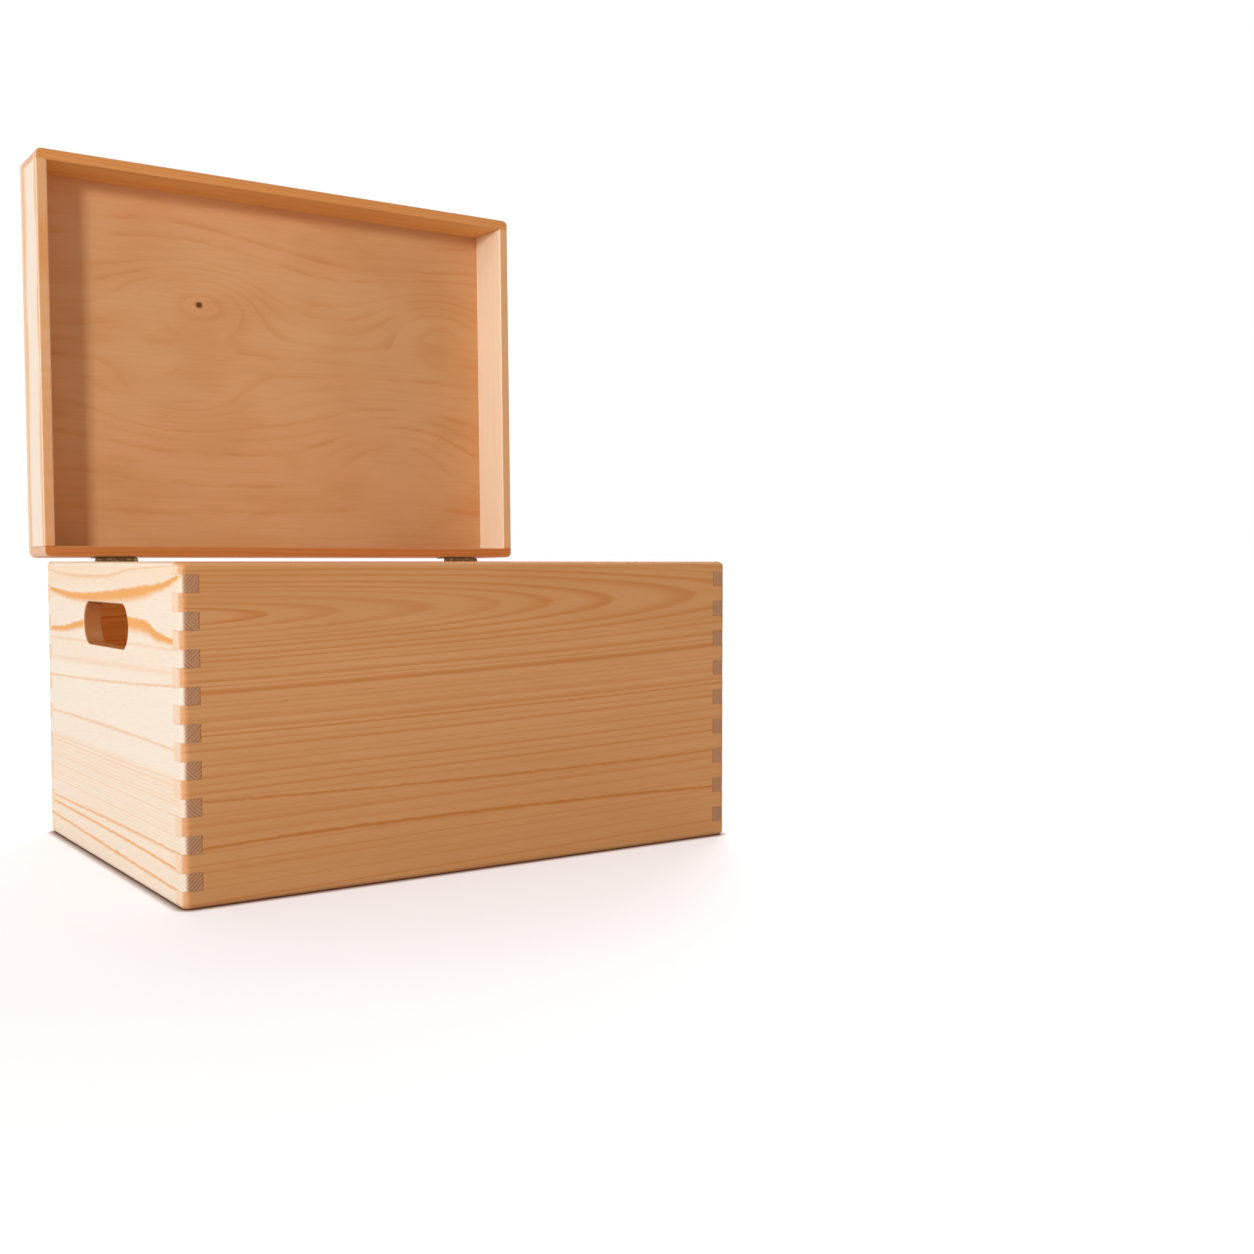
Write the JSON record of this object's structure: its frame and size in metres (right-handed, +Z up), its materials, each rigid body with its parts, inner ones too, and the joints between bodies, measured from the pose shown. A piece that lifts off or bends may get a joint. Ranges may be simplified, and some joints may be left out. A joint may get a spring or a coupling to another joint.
{
  "type": "keepsake box",
  "caption": "Finger-jointed pine keepsake box with a handle cut-out in each end and a hinged tray lid, shown standing open just past upright.",
  "frame": {"origin": "centre of the underside of the box, on the surface it stands on", "axes": "+X to the right along the front, +Y from the front to the hinged back, +Z up"},
  "size_m": [0.4, 0.3588, 0.5035],
  "materials": {
    "pine": "bare sanded",
    "birch_ply": "bare sanded",
    "hinge_bronze": "antique bronze",
    "screw_bronze": "antique bronze"
  },
  "bodies": {
    "carcass": {"front_panel": "pine", "back_panel": "pine", "left_side_panel": "pine", "right_side_panel": "pine", "bottom_panel": "birch_ply", "left_hinge_body_leaf": "hinge_bronze", "left_hinge_pin": "hinge_bronze", "left_hinge_body_screws": "screw_bronze", "right_hinge_body_leaf": "hinge_bronze", "right_hinge_pin": "hinge_bronze", "right_hinge_body_screws": "screw_bronze"},
    "lid": {"lid_front_rail": "pine", "lid_rear_rail": "pine", "lid_left_rail": "pine", "lid_right_rail": "pine", "lid_top_panel": "birch_ply", "left_hinge_lid_leaf": "hinge_bronze", "left_hinge_lid_screws": "screw_bronze", "right_hinge_lid_leaf": "hinge_bronze", "right_hinge_lid_screws": "screw_bronze"}
  },
  "joints": [
    {"name": "lid_hinge", "type": "hinge", "parent": "carcass", "child": "lid", "pos_m": [0, 0.1534, 0.2002], "axis": [1, 0, 0], "range_deg": [0, 91]}
  ]
}
